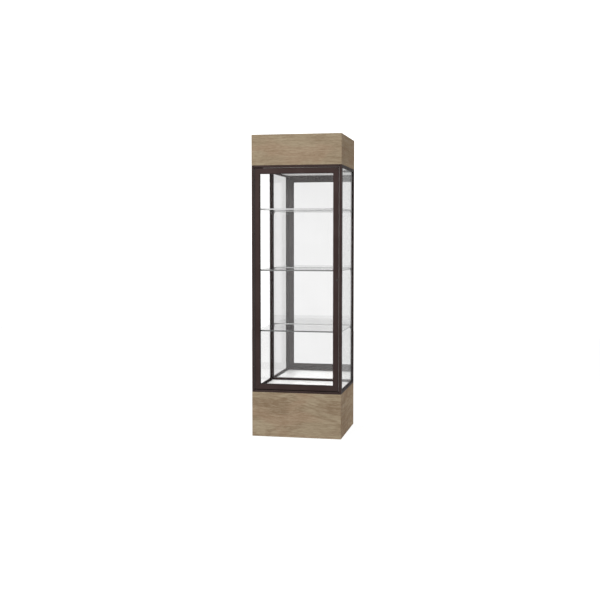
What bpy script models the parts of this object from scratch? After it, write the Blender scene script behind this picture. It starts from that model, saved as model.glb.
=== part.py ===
"""Tower display case: laminate plinth and header, an aluminium frame with glass sides, a mirror
back and a full-length hinged, lockable glass door, and three glass shelves on clips.

Metres, +Z up. The origin is on the floor under the middle of the case, and the door faces -Y.
"""

import bmesh
import bpy
from mathutils import Matrix, Vector

X = Vector((1, 0, 0))
Y = Vector((0, 1, 0))
Z = Vector((0, 0, 1))

# Overall sizes
INCH = 0.0254
WIDTH = 24 * INCH
DEPTH = 22 * INCH
BASE_TOP = 12 * INCH
HEADER_BOTTOM = 72 * INCH
HEIGHT = 80 * INCH

GAP = 0.0003  # between pieces that touch
MITRE_GAP = 1.5 * GAP  # along a mitred end, which leaves about GAP across its 45 degree joint
SIDE = WIDTH / 2
REAR = DEPTH / 2

# Laminate boxes
BOARD = 0.018
FLOOR_CLEARANCE = 0.003
BASE_BOTTOM_BOARD_Z = 0.040

# Levelling feet
FOOT_INSET = 0.048
STEM_RADIUS = 0.0049
STEM_TOP = 0.075
STEM_HOLE_RADIUS = 0.0053
NUT_RADIUS = 0.0085
NUT_BOTTOM = 0.009
NUT_TOP = 0.016
PAD_RADIUS = 0.020
PAD_EDGE = 0.004
PAD_NECK_RADIUS = 0.014
PAD_TOP = 0.008

# Aluminium frame
WALL = 0.002
FRONT_RECESS = 0.002
POST_FACE = 0.016
POST_DEPTH = 0.040
RAIL_HEIGHT = 0.0187
STOP_LIP_TOP = 0.0247
FRONT_RAIL_FACE = 0.0157
STOP_LIP_START = 0.024
REAR_RAIL_DEPTH = 0.030
CHAMFER = 0.003
FRAME_FRONT = -REAR + FRONT_RECESS
FRAME_BOTTOM = BASE_TOP + GAP
FRAME_TOP = HEADER_BOTTOM - GAP

# Glass grooves of the frame, and the rabbet that the mirror is set in
GLASS = 0.006
GROOVE_DEPTH = 0.008
GROOVE_NEAR = 0.0047
GROOVE_FAR = 0.0113
GLASS_END_PLAY = 0.0005
GLASS_HEAD_ROOM = 0.001
RABBET = 0.008
RABBET_DEPTH = 0.0083
MIRROR = 0.004
BACK_BOARD = 0.0032

# Deck and ceiling
DECK_THICKNESS = 0.0065
CEILING_UNDERSIDE = FRAME_TOP - DECK_THICKNESS

# Door
REVEAL = 0.003
STILE_FACE = 0.037
DOOR_THICKNESS = 0.022
DOOR_HALF_WIDTH = SIDE - POST_FACE - REVEAL
DOOR_BOTTOM = FRAME_BOTTOM + FRONT_RAIL_FACE + REVEAL
DOOR_TOP = FRAME_TOP - FRONT_RAIL_FACE - REVEAL
PANE_FRONT = 0.005
PANE_REAR = 0.0152
PANE_GROOVE = 0.009
PANE_BITE = 0.008

# Full-length hinge, in the reveal on the left
PIN_SETBACK = 0.001
HINGE_END_GAP = 0.003
HINGE_X = -(DOOR_HALF_WIDTH + REVEAL / 2)
HINGE_Y = FRAME_FRONT + PIN_SETBACK
KNUCKLE_RADIUS = 0.0021
KNUCKLE_BORE = 0.00125
KNUCKLE_COUNT = 15
PIN_RADIUS = 0.0009
LEAF = 0.0009
LEAF_START = 0.0026
LEAF_END = 0.018
TAB_START = 0.0014

# Lock, in the right stile at half the height of the glass
LOCK_FROM_EDGE = 0.010
LOCK_X = DOOR_HALF_WIDTH - LOCK_FROM_EDGE
LOCK_Z = (BASE_TOP + HEADER_BOTTOM) / 2
BEZEL_RADIUS = 0.007
BEZEL_THICKNESS = 0.0015
LOCK_FRONT = FRAME_FRONT - BEZEL_THICKNESS
BARREL_RADIUS = 0.0055
BARREL_LENGTH = 0.026
PLUG_RADIUS = 0.0035
PLUG_TAIL = 0.001
TURNING_PLAY = 0.0004
KEYWAY_HALF_WIDTH = 0.0006
KEYWAY_HALF_HEIGHT = 0.0024
KEYWAY_DEPTH = 0.006
CAM_FRONT = 0.0265
CAM_THICKNESS = 0.002
CAM_REACH = 0.0185
CAM_HALF_WIDTH = 0.0045
CAM_CORNER = 0.002
CAM_SLOT_FRONT = 0.023
CAM_SLOT_REAR = 0.029
CAM_SLOT_BELOW = 0.020
CAM_SLOT_ABOVE = 0.008
CAM_SLOT_END = 0.006
CUTTER_OVERRUN = 0.003

# Shelves and their clips
SHELF_TOPS = (0.7215, 1.1325, 1.5435)
SHELF_THICKNESS = 0.0095
SHELF_HALF_WIDTH = 0.292
SHELF_FRONT = -0.2244
SHELF_REAR = 0.2383
CLIP_THICKNESS = 0.0016
CLIP_FROM_SIDE = 0.0137
CLIP_REACH = 0.045
CLIP_STANDOFF = 0.0005
CLIP_NOSE = 0.005
CLIP_BELLY = 0.016
CLIP_HEEL = 0.020
HOOK_REACH = 0.007
HOOK_TOP = 0.005
HOOK_BOTTOM = 0.014
SLOT_WIDTH = 0.0024
SLOT_TOP = 0.003
SLOT_BOTTOM = 0.016
SLOT_DEPTH = 0.008


def clear_scene():
    for obj in list(bpy.data.objects):
        bpy.data.objects.remove(obj, do_unlink=True)


clear_scene()
parts = bpy.data.collections.new("display_case")
cutters = bpy.data.collections.new("cutters")
for group in (parts, cutters):
    bpy.context.scene.collection.children.link(group)
cutters.hide_render = True


# Materials


def material(name, colour, roughness, metallic=0.0, transmission=0.0):
    made = bpy.data.materials.new(name)
    made.use_nodes = True
    shader = made.node_tree.nodes["Principled BSDF"]
    shader.inputs["Base Color"].default_value = (*colour, 1)
    shader.inputs["Roughness"].default_value = roughness
    shader.inputs["Metallic"].default_value = metallic
    shader.inputs["Transmission Weight"].default_value = transmission
    made.diffuse_color = (*colour, 1)
    return made


LAMINATE = material("weathered_oak_laminate", (0.36, 0.29, 0.20), 0.55)
BRONZE = material("dark_bronze_aluminium", (0.055, 0.040, 0.036), 0.35, metallic=0.6)
WHITE = material("white_laminate", (0.85, 0.85, 0.84), 0.5)
CLEAR = material("clear_glass", (0.92, 0.96, 0.94), 0.02, transmission=1.0)
MIRRORED = material("mirror_glass", (0.85, 0.86, 0.86), 0.02, metallic=1.0)
BLACK_BOARD = material("black_hardboard", (0.03, 0.03, 0.03), 0.8)
RUBBER = material("black_rubber", (0.02, 0.02, 0.02), 0.7)
PILE = material("grey_pile_seal", (0.35, 0.33, 0.32), 0.9)
STEEL = material("dark_steel", (0.10, 0.09, 0.09), 0.35, metallic=0.9)
FOOT = material("zinc_foot", (0.45, 0.45, 0.46), 0.4, metallic=0.8)


# Making solids


def add(name, mesh, finish, collection=parts, location=(0, 0, 0)):
    obj = bpy.data.objects.new(name, mesh)
    obj.location = location
    collection.objects.link(obj)
    if finish:
        mesh.materials.append(finish)
    else:
        obj.hide_render = True
        obj.display_type = "WIRE"
    return obj


def box(name, low, high, finish, collection=parts):
    """A box between two corners, with its origin at its middle."""
    low = Vector(low)
    high = Vector(high)
    shape = bmesh.new()
    bmesh.ops.create_cube(shape, size=1)
    bmesh.ops.scale(shape, vec=high - low, verts=shape.verts)
    mesh = bpy.data.meshes.new(name)
    shape.to_mesh(mesh)
    shape.free()
    return add(name, mesh, finish, collection, (low + high) / 2)


def extruded(name, outlines, length, place, finish, collection=parts, mitre=False):
    """Outlines in the local XY plane, carried along local Z. An inner outline is a hollow.

    With mitre, local x is the distance from the outer edge, and both ends are cut at 45 degrees.
    """
    curve = bpy.data.curves.new(name, "CURVE")
    curve.dimensions = "2D"
    curve.fill_mode = "BOTH"
    curve.extrude = length / 2
    for outline in outlines:
        spline = curve.splines.new("POLY")
        spline.points.add(len(outline) - 1)
        for point, (x, y) in zip(spline.points, outline):
            point.co = (x, y, 0, 1)
        spline.use_cyclic_u = True
    guide = bpy.data.objects.new(name + "_guide", curve)
    cutters.objects.link(guide)
    bpy.context.view_layer.update()
    evaluated = guide.evaluated_get(bpy.context.evaluated_depsgraph_get())
    mesh = bpy.data.meshes.new_from_object(evaluated)
    bpy.data.objects.remove(guide, do_unlink=True)
    shape = bmesh.new()
    shape.from_mesh(mesh)
    bmesh.ops.remove_doubles(shape, verts=shape.verts, dist=1e-6)
    if mitre:
        for vertex in shape.verts:
            vertex.co.z -= vertex.co.x if vertex.co.z > 0 else -vertex.co.x
    bmesh.ops.recalc_face_normals(shape, faces=shape.faces)
    shape.to_mesh(mesh)
    shape.free()
    mesh.name = name
    obj = add(name, mesh, finish, collection)
    obj.matrix_world = place
    return obj


def axes(across, up, origin):
    """A placing whose local X and Y lie along across and up, and so local Z along across x up."""
    along = across.cross(up)
    turn = Matrix((across, up, along)).transposed().to_4x4()
    return Matrix.Translation(Vector(origin)) @ turn


def turned(name, profile, place, finish, steps=16, closed=False):
    """A profile of (radius, height), outer side downwards, turned about local Z by a Screw."""
    mesh = bpy.data.meshes.new(name)
    edges = [(i, i + 1) for i in range(len(profile) - 1)]
    if closed:
        edges.append((len(profile) - 1, 0))
    mesh.from_pydata([(radius, 0, height) for radius, height in profile], edges, [])
    obj = add(name, mesh, finish)
    obj.matrix_world = place
    screw = obj.modifiers.new("turn", "SCREW")
    screw.steps = steps
    screw.render_steps = steps
    screw.use_merge_vertices = True
    screw.merge_threshold = 1e-5
    return obj


def cylinder(name, radius, start, end, finish, sides=12, collection=parts):
    """A cylinder from one point to another, with its origin halfway."""
    start = Vector(start)
    end = Vector(end)
    along = (end - start).normalized()
    shape = bmesh.new()
    length = (end - start).length
    bmesh.ops.create_cone(
        shape, cap_ends=True, segments=sides, radius1=radius, radius2=radius, depth=length
    )
    mesh = bpy.data.meshes.new(name)
    shape.to_mesh(mesh)
    shape.free()
    obj = add(name, mesh, finish, collection)
    turn = Z.rotation_difference(along).to_matrix().to_4x4()
    obj.matrix_world = Matrix.Translation((start + end) / 2) @ turn
    return obj


def boolean(obj, tool, operation):
    step = obj.modifiers.new(tool.name, "BOOLEAN")
    step.operation = operation
    step.object = tool


def keep_place(child, parent):
    """Parents child to an empty without moving it."""
    bpy.context.view_layer.update()
    place = child.matrix_world.copy()
    child.parent = parent
    child.matrix_world = place


# Plinth and header: four mitred panels each, with boards let in between them


def mitred_panels(prefix, bottom, top):
    middle = Matrix.Translation((0, 0, (bottom + top) / 2))
    inner_x = SIDE - BOARD
    inner_y = REAR - BOARD
    for where, side in (("front", -1), ("back", 1)):
        outline = [
            (-SIDE, side * REAR),
            (SIDE, side * REAR),
            (inner_x, side * inner_y),
            (-inner_x, side * inner_y),
        ]
        extruded(f"{prefix}_{where}_panel", [outline], top - bottom, middle, LAMINATE)
    for where, side in (("left", -1), ("right", 1)):
        outline = [
            (side * SIDE, MITRE_GAP - REAR),
            (side * SIDE, REAR - MITRE_GAP),
            (side * inner_x, inner_y - MITRE_GAP),
            (side * inner_x, MITRE_GAP - inner_y),
        ]
        extruded(f"{prefix}_{where}_panel", [outline], top - bottom, middle, LAMINATE)


def let_in_board(name, bottom, top, finish):
    x = SIDE - BOARD - GAP
    y = REAR - BOARD - GAP
    return box(name, (-x, -y, bottom), (x, y, top), finish)


mitred_panels("base", FLOOR_CLEARANCE, BASE_TOP)
let_in_board("base_top_board", BASE_TOP - BOARD, BASE_TOP, LAMINATE)
bottom_board = let_in_board(
    "base_bottom_board", BASE_BOTTOM_BOARD_Z, BASE_BOTTOM_BOARD_Z + BOARD, LAMINATE
)
mitred_panels("header", HEADER_BOTTOM, HEIGHT)
let_in_board("header_top_board", HEIGHT - BOARD, HEIGHT, LAMINATE)


# Levelling feet: a pad with a stem that screws into the bottom board

FOOT_PROFILE = [
    (0, STEM_TOP),
    (STEM_RADIUS, STEM_TOP),
    (STEM_RADIUS, NUT_TOP),
    (NUT_RADIUS, NUT_TOP),
    (NUT_RADIUS, NUT_BOTTOM),
    (PAD_NECK_RADIUS, PAD_TOP),
    (PAD_RADIUS, PAD_EDGE),
    (PAD_RADIUS, 0),
    (0, 0),
]
for end, y in (("front", FOOT_INSET - REAR), ("rear", REAR - FOOT_INSET)):
    for hand, x in (("left", FOOT_INSET - SIDE), ("right", SIDE - FOOT_INSET)):
        name = f"levelling_foot_{end}_{hand}"
        turned(name, FOOT_PROFILE, Matrix.Translation((x, y, 0)), FOOT)
        hole = cylinder(
            f"{name}_hole",
            STEM_HOLE_RADIUS,
            (x, y, BASE_BOTTOM_BOARD_Z - BOARD),
            (x, y, BASE_BOTTOM_BOARD_Z + 2 * BOARD),
            None,
            sides=16,
            collection=cutters,
        )
        boolean(bottom_board, hole, "DIFFERENCE")


# Aluminium frame: hollow extrusions. In a post's outline, x runs inwards from the outer side
# and y runs back from the front.


def flipped(outline):
    return [(-x, y) for x, y in outline]


FRONT_POST = [
    [
        (0, 0),
        (POST_FACE - CHAMFER, 0),
        (POST_FACE, CHAMFER),
        (POST_FACE, POST_DEPTH),
        (GROOVE_FAR, POST_DEPTH),
        (GROOVE_FAR, POST_DEPTH - GROOVE_DEPTH),
        (GROOVE_NEAR, POST_DEPTH - GROOVE_DEPTH),
        (GROOVE_NEAR, POST_DEPTH),
        (0, POST_DEPTH),
    ],
    [
        (WALL, WALL),
        (POST_FACE - 2 * WALL, WALL),
        (POST_FACE - WALL, 2 * WALL),
        (POST_FACE - WALL, POST_DEPTH - GROOVE_DEPTH - WALL),
        (WALL, POST_DEPTH - GROOVE_DEPTH - WALL),
    ],
]
RABBET_START = POST_DEPTH - RABBET_DEPTH
REAR_POST = [
    [
        (0, 0),
        (GROOVE_NEAR, 0),
        (GROOVE_NEAR, GROOVE_DEPTH),
        (GROOVE_FAR, GROOVE_DEPTH),
        (GROOVE_FAR, 0),
        (POST_FACE, 0),
        (POST_FACE, RABBET_START),
        (RABBET, RABBET_START),
        (RABBET, POST_DEPTH),
        (0, POST_DEPTH),
    ],
    [
        (WALL, GROOVE_DEPTH + WALL),
        (POST_FACE - WALL, GROOVE_DEPTH + WALL),
        (POST_FACE - WALL, RABBET_START - WALL),
        (WALL, RABBET_START - WALL),
    ],
]

REAR_POST_FRONT = REAR - POST_DEPTH
FRONT_POST_REAR = FRAME_FRONT + POST_DEPTH
FRAME_MIDDLE = (FRAME_BOTTOM + FRAME_TOP) / 2
posts = {}
for end, outlines, y in (
    ("front", FRONT_POST, FRAME_FRONT),
    ("rear", REAR_POST, REAR_POST_FRONT),
):
    for hand, side in (("left", -1), ("right", 1)):
        shape = outlines if side < 0 else [flipped(outline) for outline in outlines]
        place = Matrix.Translation((side * SIDE, y, FRAME_MIDDLE))
        name = f"{end}_{hand}_post"
        posts[end, hand] = extruded(name, shape, FRAME_TOP - FRAME_BOTTOM, place, BRONZE)

# In a rail's outline, y runs from the board that the rail lies on into the glass opening.
GROOVE_FLOOR = RAIL_HEIGHT - GROOVE_DEPTH
SIDE_RAIL = [
    [
        (0, 0),
        (POST_FACE, 0),
        (POST_FACE, RAIL_HEIGHT),
        (GROOVE_FAR, RAIL_HEIGHT),
        (GROOVE_FAR, GROOVE_FLOOR),
        (GROOVE_NEAR, GROOVE_FLOOR),
        (GROOVE_NEAR, RAIL_HEIGHT),
        (0, RAIL_HEIGHT),
    ],
    [
        (WALL, WALL),
        (POST_FACE - WALL, WALL),
        (POST_FACE - WALL, GROOVE_FLOOR - WALL),
        (WALL, GROOVE_FLOOR - WALL),
    ],
]
FRONT_RAIL = [
    [
        (0, 0),
        (POST_DEPTH, 0),
        (POST_DEPTH, STOP_LIP_TOP),
        (STOP_LIP_START, STOP_LIP_TOP),
        (STOP_LIP_START, FRONT_RAIL_FACE),
        (CHAMFER, FRONT_RAIL_FACE),
        (0, FRONT_RAIL_FACE - CHAMFER),
    ],
    [
        (WALL, WALL),
        (POST_DEPTH - WALL, WALL),
        (POST_DEPTH - WALL, FRONT_RAIL_FACE - WALL),
        (2 * WALL, FRONT_RAIL_FACE - WALL),
        (WALL, FRONT_RAIL_FACE - 2 * WALL),
    ],
]
REAR_RAIL = [
    [
        (0, 0),
        (REAR_RAIL_DEPTH, 0),
        (REAR_RAIL_DEPTH, RAIL_HEIGHT),
        (RABBET_DEPTH, RAIL_HEIGHT),
        (RABBET_DEPTH, GROOVE_FLOOR),
        (0, GROOVE_FLOOR),
    ],
    [
        (WALL, WALL),
        (REAR_RAIL_DEPTH - WALL, WALL),
        (REAR_RAIL_DEPTH - WALL, GROOVE_FLOOR - WALL),
        (WALL, GROOVE_FLOOR - WALL),
    ],
]
CROSS_RAIL_LENGTH = WIDTH - 2 * (POST_FACE + GAP)
SIDE_RAIL_START = FRONT_POST_REAR + GAP
SIDE_RAIL_END = REAR_POST_FRONT - GAP
for level, up, z in (("bottom", Z, FRAME_BOTTOM), ("top", -Z, FRAME_TOP)):
    place = axes(Y, up, (0, FRAME_FRONT, z))
    extruded(f"front_{level}_rail", FRONT_RAIL, CROSS_RAIL_LENGTH, place, BRONZE)
    place = axes(-Y, up, (0, REAR, z))
    extruded(f"rear_{level}_rail", REAR_RAIL, CROSS_RAIL_LENGTH, place, BRONZE)
    for hand, side in (("left", -1), ("right", 1)):
        middle = (side * SIDE, (SIDE_RAIL_START + SIDE_RAIL_END) / 2, z)
        extruded(
            f"{hand}_{level}_rail",
            SIDE_RAIL,
            SIDE_RAIL_END - SIDE_RAIL_START,
            axes(-side * X, up, middle),
            BRONZE,
        )


# Fixed glass, mirror and its backing board

GLASS_BOTTOM = FRAME_BOTTOM + GROOVE_FLOOR + GAP
GLASS_TOP = FRAME_TOP - GROOVE_FLOOR - GLASS_HEAD_ROOM
GLASS_FRONT = FRONT_POST_REAR - GROOVE_DEPTH + GLASS_END_PLAY
GLASS_REAR = REAR_POST_FRONT + GROOVE_DEPTH - GLASS_END_PLAY
GLASS_OUTER = SIDE - (GROOVE_NEAR + GROOVE_FAR - GLASS) / 2
for hand, side in (("left", -1), ("right", 1)):
    near, far = sorted((side * GLASS_OUTER, side * (GLASS_OUTER - GLASS)))
    box(
        f"{hand}_side_glass",
        (near, GLASS_FRONT, GLASS_BOTTOM),
        (far, GLASS_REAR, GLASS_TOP),
        CLEAR,
    )

MIRROR_X = SIDE - RABBET - GAP
MIRROR_FRONT = REAR - RABBET_DEPTH + GAP
MIRROR_REAR = MIRROR_FRONT + MIRROR
MIRROR_TOP = FRAME_TOP - GROOVE_FLOOR - GAP
BACK_BOARD_FRONT = MIRROR_REAR + GAP
box(
    "mirror_back",
    (-MIRROR_X, MIRROR_FRONT, GLASS_BOTTOM),
    (MIRROR_X, MIRROR_REAR, MIRROR_TOP),
    MIRRORED,
)
box(
    "mirror_backing_board",
    (-MIRROR_X, BACK_BOARD_FRONT, GLASS_BOTTOM),
    (MIRROR_X, BACK_BOARD_FRONT + BACK_BOARD, MIRROR_TOP),
    BLACK_BOARD,
)


# White deck and ceiling, between the rails

LINING_X = SIDE - POST_FACE - GAP
LINING_FRONT = FRONT_POST_REAR + GAP
LINING_REAR = REAR - REAR_RAIL_DEPTH - GAP
box(
    "floor_deck",
    (-LINING_X, LINING_FRONT, BASE_TOP + GAP),
    (LINING_X, LINING_REAR, BASE_TOP + GAP + DECK_THICKNESS),
    WHITE,
)
box(
    "ceiling_panel",
    (-LINING_X, LINING_FRONT, CEILING_UNDERSIDE),
    (LINING_X, LINING_REAR, FRAME_TOP),
    WHITE,
)


# Shelves, each on four clips that hook into slots in the posts

# Side view of a clip: x runs out of the post's face, and y is the height from the shelf.
CLIP_TIP_BEVEL = 0.001
CLIP = [
    (-HOOK_REACH, -HOOK_BOTTOM),
    (-HOOK_REACH, -HOOK_TOP),
    (CLIP_STANDOFF, -HOOK_TOP),
    (CLIP_STANDOFF, -GAP),
    (CLIP_REACH - CLIP_TIP_BEVEL, -GAP),
    (CLIP_REACH, -GAP - CLIP_TIP_BEVEL),
    (CLIP_REACH, -CLIP_NOSE),
    (HOOK_BOTTOM, -CLIP_BELLY),
    (CLIP_STANDOFF, -CLIP_HEEL),
    (CLIP_STANDOFF, -HOOK_BOTTOM),
]
CLIP_X = SIDE - CLIP_FROM_SIDE
for number, top in enumerate(SHELF_TOPS, 1):
    underside = top - SHELF_THICKNESS
    box(
        f"shelf_{number}",
        (-SHELF_HALF_WIDTH, SHELF_FRONT, underside),
        (SHELF_HALF_WIDTH, SHELF_REAR, top),
        CLEAR,
    )
    for end, face, out in (("front", FRONT_POST_REAR, Y), ("rear", REAR_POST_FRONT, -Y)):
        for hand, side in (("left", -1), ("right", 1)):
            name = f"shelf_{number}_clip_{end}_{hand}"
            origin = (side * CLIP_X, face, underside)
            extruded(name, [CLIP], CLIP_THICKNESS, axes(out, Z, origin), STEEL)
            inside = face - out.y * SLOT_DEPTH
            mouth = face + out.y * SLOT_DEPTH
            slot = box(
                f"{name}_slot",
                (
                    side * CLIP_X - SLOT_WIDTH / 2,
                    min(inside, mouth),
                    underside - SLOT_BOTTOM,
                ),
                (
                    side * CLIP_X + SLOT_WIDTH / 2,
                    max(inside, mouth),
                    underside - SLOT_TOP,
                ),
                None,
                cutters,
            )
            boolean(posts[end, hand], slot, "DIFFERENCE")


# Door: four mitred hollow members. In the outline, x runs inwards from the outer edge and y
# runs back from the front.

door_axis = bpy.data.objects.new("door_hinge_axis", None)
door_axis.location = (HINGE_X, HINGE_Y, (DOOR_BOTTOM + DOOR_TOP) / 2)
parts.objects.link(door_axis)

CORE_END = STILE_FACE - PANE_GROOVE - WALL
DOOR_MEMBER = [
    [
        (0, CHAMFER),
        (CHAMFER, 0),
        (STILE_FACE, 0),
        (STILE_FACE, PANE_FRONT),
        (STILE_FACE - PANE_GROOVE, PANE_FRONT),
        (STILE_FACE - PANE_GROOVE, PANE_REAR),
        (STILE_FACE, PANE_REAR),
        (STILE_FACE, DOOR_THICKNESS),
        (0, DOOR_THICKNESS),
    ],
    [
        (WALL, 2 * WALL),
        (2 * WALL, WALL),
        (CORE_END, WALL),
        (CORE_END, DOOR_THICKNESS - WALL),
        (WALL, DOOR_THICKNESS - WALL),
    ],
]
DOOR_MIDDLE = (DOOR_BOTTOM + DOOR_TOP) / 2
DOOR_HEIGHT = DOOR_TOP - DOOR_BOTTOM
stiles = {}
for hand, side in (("left", -1), ("right", 1)):
    stiles[hand] = extruded(
        f"door_{hand}_stile",
        DOOR_MEMBER,
        DOOR_HEIGHT,
        axes(-side * X, Y, (side * DOOR_HALF_WIDTH, FRAME_FRONT, DOOR_MIDDLE)),
        BRONZE,
        mitre=True,
    )
    keep_place(stiles[hand], door_axis)
for level, up, z in (("bottom", Z, DOOR_BOTTOM), ("top", -Z, DOOR_TOP)):
    rail = extruded(
        f"door_{level}_rail",
        DOOR_MEMBER,
        2 * (DOOR_HALF_WIDTH - MITRE_GAP),
        axes(up, Y, (0, FRAME_FRONT, z)),
        BRONZE,
        mitre=True,
    )
    keep_place(rail, door_axis)

PANE_X = DOOR_HALF_WIDTH - STILE_FACE + PANE_BITE
PANE_BOTTOM = DOOR_BOTTOM + STILE_FACE - PANE_BITE
PANE_TOP = DOOR_TOP - STILE_FACE + PANE_BITE
PANE_Y = FRAME_FRONT + PANE_FRONT + GAP
pane = box(
    "door_glass",
    (-PANE_X, PANE_Y, PANE_BOTTOM),
    (PANE_X, PANE_Y + GLASS, PANE_TOP),
    CLEAR,
)
keep_place(pane, door_axis)


def rectangle(half_width, half_height):
    return [
        (-half_width, -half_height),
        (half_width, -half_height),
        (half_width, half_height),
        (-half_width, half_height),
    ]


GASKET_FRONT = PANE_Y + GLASS + GAP
GASKET_REAR = FRAME_FRONT + PANE_REAR - GAP
GASKET_SHOWS = 0.002
GASKET_BITE = PANE_BITE - GLASS_END_PLAY
gasket_half_width = DOOR_HALF_WIDTH - STILE_FACE
gasket_half_height = DOOR_HEIGHT / 2 - STILE_FACE
gasket = extruded(
    "door_glass_gasket",
    [
        rectangle(gasket_half_width + GASKET_BITE, gasket_half_height + GASKET_BITE),
        rectangle(gasket_half_width - GASKET_SHOWS, gasket_half_height - GASKET_SHOWS),
    ],
    GASKET_REAR - GASKET_FRONT,
    axes(X, Z, (0, (GASKET_FRONT + GASKET_REAR) / 2, DOOR_MIDDLE)),
    RUBBER,
)
keep_place(gasket, door_axis)


# Dust seal on the frame, in the reveal over the door and down its closing side

SEAL_THICKNESS = 0.0021
SEAL_FRONT = FRAME_FRONT + CHAMFER + 0.0005
SEAL_DEPTH = 0.006
SEAL_LEFT_END = -0.225
SEAL_X = SIDE - POST_FACE - GAP
SEAL_Z = DOOR_TOP + REVEAL - GAP
extruded(
    "door_dust_seal",
    [
        [
            (SEAL_LEFT_END, SEAL_Z),
            (SEAL_X, SEAL_Z),
            (SEAL_X, DOOR_BOTTOM),
            (SEAL_X - SEAL_THICKNESS, DOOR_BOTTOM),
            (SEAL_X - SEAL_THICKNESS, SEAL_Z - SEAL_THICKNESS),
            (SEAL_LEFT_END, SEAL_Z - SEAL_THICKNESS),
        ]
    ],
    SEAL_DEPTH,
    axes(X, Z, (0, SEAL_FRONT + SEAL_DEPTH / 2, 0)),
    PILE,
)


# Full-length hinge: each leaf is a comb-edged strip with every second knuckle joined to it

HINGE_BOTTOM = DOOR_BOTTOM + HINGE_END_GAP
PITCH = (DOOR_HEIGHT - 2 * HINGE_END_GAP) / KNUCKLE_COUNT


def knuckle_span(index):
    low = HINGE_BOTTOM + index * PITCH
    return low + GAP / 2, low + PITCH - GAP / 2


def leaf_outline(first):
    """A strip behind the pin, whose front edge steps forward to each of its own knuckles."""
    bottom = knuckle_span(0)[0]
    top = knuckle_span(KNUCKLE_COUNT - 1)[1]
    outline = [(LEAF_END, top), (LEAF_END, bottom)]
    for index in range(KNUCKLE_COUNT):
        low, high = knuckle_span(index)
        if index % 2 == first:
            outline += [(TAB_START, low), (TAB_START, high)]
        else:
            outline += [(LEAF_START, max(bottom, low - GAP))]
            outline += [(LEAF_START, min(top, high + GAP))]
    return outline


def hinge_leaf(name, side, first):
    """A leaf on one side of the pin, with the knuckles first, first + 2, ... joined to it."""
    middle = HINGE_X + side * (GAP + LEAF / 2)
    leaf = extruded(name, [leaf_outline(first)], LEAF, axes(Y, Z, (middle, HINGE_Y, 0)), STEEL)
    spans = [knuckle_span(index) for index in range(first, KNUCKLE_COUNT, 2)]
    for number, (low, high) in enumerate(spans):
        ring = turned(
            f"{name}_knuckle_{number}",
            [
                (KNUCKLE_RADIUS, high),
                (KNUCKLE_RADIUS, low),
                (KNUCKLE_BORE, low),
                (KNUCKLE_BORE, high),
            ],
            Matrix.Translation((HINGE_X, HINGE_Y, 0)),
            None,
            steps=10,
            closed=True,
        )
        parts.objects.unlink(ring)
        cutters.objects.link(ring)
        boolean(leaf, ring, "UNION")
    return leaf


hinge_leaf("hinge_frame_leaf", -1, 0)
keep_place(hinge_leaf("hinge_door_leaf", 1, 1), door_axis)
cylinder(
    "hinge_pin",
    PIN_RADIUS,
    (HINGE_X, HINGE_Y, HINGE_BOTTOM),
    (HINGE_X, HINGE_Y, HINGE_BOTTOM + KNUCKLE_COUNT * PITCH),
    STEEL,
    sides=10,
)


# Lock: a barrel in the closing stile, and a plug whose cam turns into a slot in the post

LOCK_PLACE = axes(X, Z, (LOCK_X, LOCK_FRONT, LOCK_Z))
PLUG_BORE = PLUG_RADIUS + TURNING_PLAY
lock_barrel = turned(
    "lock_barrel",
    [
        (BEZEL_RADIUS, 0),
        (BEZEL_RADIUS, -BEZEL_THICKNESS + GAP),
        (BARREL_RADIUS, -BEZEL_THICKNESS + GAP),
        (BARREL_RADIUS, -BARREL_LENGTH),
        (PLUG_BORE, -BARREL_LENGTH),
        (PLUG_BORE, 0),
    ],
    LOCK_PLACE,
    STEEL,
    closed=True,
)
keep_place(lock_barrel, door_axis)
barrel_hole = cylinder(
    "lock_barrel_hole",
    BARREL_RADIUS + TURNING_PLAY,
    (LOCK_X, FRAME_FRONT - CUTTER_OVERRUN, LOCK_Z),
    (LOCK_X, FRAME_FRONT + DOOR_THICKNESS + CUTTER_OVERRUN, LOCK_Z),
    None,
    sides=16,
    collection=cutters,
)
boolean(stiles["right"], barrel_hole, "DIFFERENCE")

CAM_REAR = CAM_FRONT + CAM_THICKNESS
lock_plug = turned(
    "lock_plug",
    [
        (0, -GAP),
        (PLUG_RADIUS, -GAP),
        (PLUG_RADIUS, -CAM_REAR - PLUG_TAIL),
        (0, -CAM_REAR - PLUG_TAIL),
    ],
    LOCK_PLACE,
    STEEL,
)
cam = extruded(
    "lock_cam",
    [
        [
            (-CAM_HALF_WIDTH, CAM_HALF_WIDTH),
            (-CAM_HALF_WIDTH, CAM_CORNER - CAM_REACH),
            (CAM_CORNER - CAM_HALF_WIDTH, -CAM_REACH),
            (CAM_HALF_WIDTH - CAM_CORNER, -CAM_REACH),
            (CAM_HALF_WIDTH, CAM_CORNER - CAM_REACH),
            (CAM_HALF_WIDTH, CAM_HALF_WIDTH),
        ]
    ],
    CAM_THICKNESS,
    axes(X, Z, (LOCK_X, LOCK_FRONT + CAM_FRONT + CAM_THICKNESS / 2, LOCK_Z)),
    None,
    cutters,
)
keyway = box(
    "lock_keyway",
    (LOCK_X - KEYWAY_HALF_WIDTH, LOCK_FRONT - CUTTER_OVERRUN, LOCK_Z - KEYWAY_HALF_HEIGHT),
    (LOCK_X + KEYWAY_HALF_WIDTH, LOCK_FRONT + KEYWAY_DEPTH, LOCK_Z + KEYWAY_HALF_HEIGHT),
    None,
    cutters,
)
boolean(lock_plug, cam, "UNION")
boolean(lock_plug, keyway, "DIFFERENCE")
keep_place(lock_plug, door_axis)
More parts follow.
